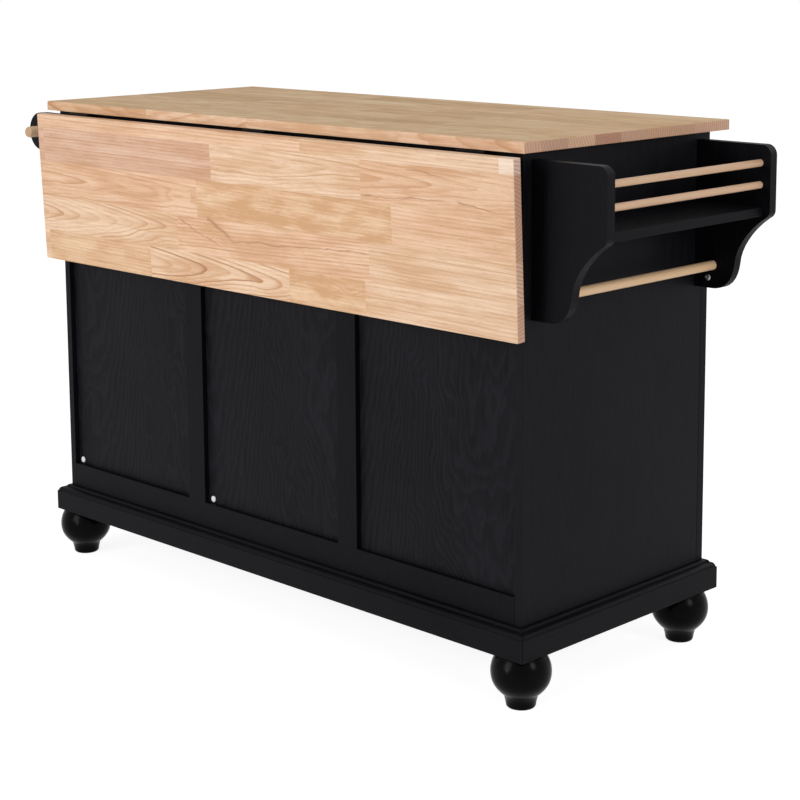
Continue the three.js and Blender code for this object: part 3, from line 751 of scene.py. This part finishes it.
def screw_mesh(name, radius, dome, place):
    """A screw's domed head with a cross recess, standing on z = 0."""
    work = bmesh.new()
    flat = radius * 0.5  # the recess lies in the head's flat middle
    edge = (radius, dome * 0.35)
    outline = [(radius, 0.0), edge]
    outline += curve_points((edge, (radius * 0.75, dome), (flat, dome)), 5)
    sides = 24
    rings = [
        [
            work.verts.new((r * math.cos(a), r * math.sin(a), h))
            for a in (2 * math.pi * (s + 0.5) / sides for s in range(sides))
        ]
        for r, h in outline
    ]
    for lower, upper in zip(rings, rings[1:]):
        for s in range(sides):
            after = (s + 1) % sides
            work.faces.new((lower[s], lower[after], upper[after], upper[s]))
    work.faces.new(list(reversed(rings[0])))

    # The recess: one arm's corners, turned a quarter for each further arm
    reach, half_slot, depth, narrowing = flat * 0.9, radius * 0.12, dome * 0.75, 0.6
    corners = [(reach, -half_slot), (reach, half_slot), (half_slot, half_slot)]
    cross = []
    for _ in range(4):
        cross += corners
        corners = [(-y, x) for x, y in corners]
    mouth = [work.verts.new((x, y, dome)) for x, y in cross]
    floor = [work.verts.new((x * narrowing, y * narrowing, dome - depth)) for x, y in cross]
    count = len(cross)
    per = sides // count
    first = sides - per // 2
    for s in range(count):
        after = (s + 1) % count
        work.faces.new((mouth[after], mouth[s], floor[s], floor[after]))
        rim = [rings[-1][(first + s * per + k) % sides] for k in range(per + 1)]
        work.faces.new([mouth[s], *rim, mouth[after]])
    work.faces.new(floor)
    work.transform(place)
    bmesh.ops.recalc_face_normals(work, faces=work.faces)
    mesh = bpy.data.meshes.new(name)
    work.to_mesh(mesh)
    work.free()
    return mesh


def facing(direction):
    """Turns +Z towards a direction."""
    return Vector((0, 0, 1)).rotation_difference(Vector(direction)).to_matrix().to_4x4()


def add_fittings():
    """The round fittings on the rack plates' inner faces, with their cross recesses."""
    for place, outwards in (("front", 1), ("back", -1)):
        node = f"rack_fitting_{place}"
        low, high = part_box(node)
        y = low.y if outwards > 0 else high.y
        at = Matrix.Translation(((low.x + high.x) / 2, y, (low.z + high.z) / 2))
        at = at @ facing((0, outwards, 0))
        mesh = screw_mesh(f"headed_{node}", (high.x - low.x) / 2, high.y - low.y, at)
        make_piece(f"headed_{node}", mesh, "cabinet", zinc, [node])


def add_screws():
    """Screws through the stays' brackets."""
    plate, from_end, radius, dome = 1.6 * MM, 6 * MM, 3.2 * MM, 1.5 * MM
    for end in ENDS:
        low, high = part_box(f"stay_bracket_{end}")
        for place, z in (("upper", high.z - from_end), ("lower", low.z + from_end)):
            at = Matrix.Translation(((low.x + high.x) / 2, low.y + plate, z)) @ facing((0, 1, 0))
            name = f"bracket_screw_{place}_{end}"
            make_piece(name, screw_mesh(name, radius, dome, at), "cabinet", zinc)


def bead_mesh(name, low_x, high_x, low_z, high_z, face_y, reach, rise):
    """A quarter-round bead, mitred at its corners, around a sunk panel that faces -Y."""
    work = bmesh.new()
    corners = (
        (low_x, low_z, 1, 1),
        (high_x, low_z, -1, 1),
        (high_x, high_z, -1, -1),
        (low_x, high_z, 1, -1),
    )
    steps, fullness = 6, 0.9  # a fullness of 1 would make a quarter of an ellipse
    section = [(0.0, 0.0)]
    for step in range(steps + 1):
        angle = math.radians(90 * step / steps)
        inward = reach * math.cos(angle) ** fullness
        section.append((inward, rise * math.sin(angle) ** fullness))
    loops = []
    for x, z, inward_x, inward_z in corners:
        places = [(x + inward_x * r, face_y - h, z + inward_z * r) for r, h in section]
        loops.append([work.verts.new(place) for place in places])
    for this, after in zip(loops, loops[1:] + loops[:1]):
        for s in range(len(section)):
            other = (s + 1) % len(section)
            work.faces.new((this[s], after[s], after[other], this[other]))
    bmesh.ops.recalc_face_normals(work, faces=work.faces)
    for face in work.faces:
        face.smooth = True
    mesh = bpy.data.meshes.new(name)
    for edge in work.edges:
        edge.smooth = edge.calc_face_angle(0) < SHARP_TURN
    work.to_mesh(mesh)
    work.free()
    return mesh


def add_beads():
    """Beads around the sunk panels of the doors and drawer fronts."""
    recess, reach, rise, gap = 6 * MM, 6 * MM, 4.6 * MM, 0.15 * MM
    door_stile, drawer_stile = 52 * MM, 38 * MM
    fronts = [(f"door_{end}", f"{end}_door", door_stile) for end in ENDS]
    fronts += [(f"drawer_front_{level}", f"{level}_drawer", drawer_stile) for level in LEVELS]
    for node, body, stile in fronts:
        low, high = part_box(node)
        inner = stile + gap
        sides = (low.x + inner, high.x - inner, low.z + inner, high.z - inner)
        name = f"bead_{node}"
        mesh = bead_mesh(name, *sides, low.y + recess - gap, reach, rise)
        make_piece(name, mesh, body, lying_black)


def dress_cabinet():
    dress("worktop", worktop_wood)
    dress("drop_leaf", leaf_wood)
    soften("worktop", 1.2 * MM, segments=3)
    soften("drop_leaf", 2.2 * MM, segments=3)
    finishes = {
        panel_black: ["back_panel"],
        side_black: [f"{piece}_{end}" for piece in ("end_panel", "door") for end in ENDS],
        upright_black: ["back_frame", "face_frame", *(f"partition_{end}" for end in ENDS)]
        + [f"rack_plate_{place}" for place in PLACES]
        + [f"towel_bracket_{place}" for place in PLACES],
        lying_black: ["base_deck", "plinth_front", "plinth_back", *(f"shelf_{end}" for end in ENDS)]
        + [f"drawer_front_{level}" for level in LEVELS],
        cross_black: ["plinth_left", "plinth_right", "rack_shelf"],
        drawer_wood: [f"drawer_box_{level}" for level in LEVELS],
        zinc: [name for name in nodes if name.startswith(("stay_", "door_hinge"))],
        hinge_black: [name for name in nodes if name.startswith(("worktop_hinge", "leaf_hinge"))],
    }
    for material, names in finishes.items():
        for name in names:
            dress(name, material)
            if material not in (zinc, hinge_black):
                soften(name, 0.7 * MM)


dress_cabinet()
add_feet()
add_dowels()
add_knobs()
add_plugs()
add_fittings()
add_screws()
add_beads()


# ---------------------------------------------------------------- studio


def add_world(daylight):
    world = bpy.data.worlds.new("studio")
    bpy.context.scene.world = world
    world.use_nodes = True
    world.node_tree.nodes.remove(world.node_tree.nodes["Background"])
    sky = Recipe(world.node_tree)
    white = (1, 1, 1)
    fill = sky.node("ShaderNodeBackground", {}, {"Color": white, "Strength": daylight})["Background"]
    backdrop = sky.node("ShaderNodeBackground", {}, {"Color": white, "Strength": 1.0})["Background"]
    surface = sky.tree.nodes["World Output"].inputs["Surface"]
    sky.feed(surface, sky.choose(sky.seen(), fill, backdrop))


def add_floor(shadow_share, glow):
    """A white floor that shows the backdrop's white and keeps the object's shadow."""
    mesh = bpy.data.meshes.new("floor")
    reach = 30.0
    corners = [(-reach, -reach, 0), (reach, -reach, 0), (reach, reach, 0), (-reach, reach, 0)]
    mesh.from_pydata(corners, [], [(0, 1, 2, 3)])
    floor = bpy.data.objects.new("floor", mesh)
    bpy.context.scene.collection.objects.link(floor)
    material = bpy.data.materials.new("white floor")
    material.use_nodes = True
    paper = Recipe(material.node_tree)
    paper.tree.nodes.remove(paper.tree.nodes["Principled BSDF"])
    chalk = paper.node("ShaderNodeBsdfDiffuse", {}, {"Color": (0.82, 0.82, 0.82)})["BSDF"]
    white = paper.node("ShaderNodeEmission", {}, {"Strength": glow})["Emission"]
    shown = paper.choose(shadow_share, white, chalk)
    surface = paper.tree.nodes["Material Output"].inputs["Surface"]
    paper.feed(surface, paper.choose(paper.seen(), chalk, shown))
    mesh.materials.append(material)


LAMPS = (  # name, place, what it points at, size in metres, watts
    ("large softbox", (0.4, 3.6, 1.7), (0, 0.2, 0.55), (1.6, 1.6), 55),
    ("low softbox", (0.0, 2.7, 0.5), (-0.2, 0.2, 0.3), (0.3, 0.3), 7),
    ("side softbox", (-3.2, 0.1, 1.5), (-0.5, 0, 0.5), (0.8, 1.0), 24),
    ("overhead softbox", (0.2, -0.6, 3.2), (0, 0, 0.8), (2.0, 1.4), 4),
    ("front softbox", (-0.8, -3.6, 1.8), (0, 0, 0.5), (1.6, 1.4), 24),
)


def add_lamp(name, place, target, size, power):
    lamp = bpy.data.lights.new(name, "AREA")
    lamp.shape = "RECTANGLE"
    lamp.size, lamp.size_y = size
    lamp.energy = power
    holder = bpy.data.objects.new(name, lamp)
    holder.location = place
    aim = Vector(target) - Vector(place)
    holder.rotation_euler = aim.to_track_quat("-Z", "Y").to_euler()
    bpy.context.scene.collection.objects.link(holder)


# The camera as solved from the photo
CAMERA_PLACE = (-2.55259, 2.47242, 1.2224)
CAMERA_TURNS = (224.809, 8.889, -0.332)  # yaw, pitch and roll in degrees
CAMERA_LENS = 86.22
CAMERA_RISE = -0.1875


def add_camera():
    yaw, pitch, roll = (math.radians(turn) for turn in CAMERA_TURNS)
    level = math.cos(pitch)
    back = Vector((math.sin(yaw) * level, -math.cos(yaw) * level, math.sin(pitch)))
    right = (-back).cross(Vector((0, 0, 1))).normalized()
    up = back.cross(right)
    level_right = math.cos(roll) * right + math.sin(roll) * up
    level_up = -math.sin(roll) * right + math.cos(roll) * up
    camera = bpy.data.objects.new("camera", bpy.data.cameras.new("camera"))
    camera.data.sensor_width = 36
    camera.data.lens = CAMERA_LENS
    camera.data.shift_y = CAMERA_RISE
    turn = Matrix((level_right, level_up, back)).transposed()
    camera.matrix_world = Matrix.Translation(CAMERA_PLACE) @ turn.to_4x4()
    bpy.context.scene.collection.objects.link(camera)
    bpy.context.scene.camera = camera


add_world(daylight=0.42)
add_floor(shadow_share=0.45, glow=1.6)
for lamp in LAMPS:
    add_lamp(*lamp)
add_camera()

bpy.context.scene.view_settings.view_transform = "Standard"
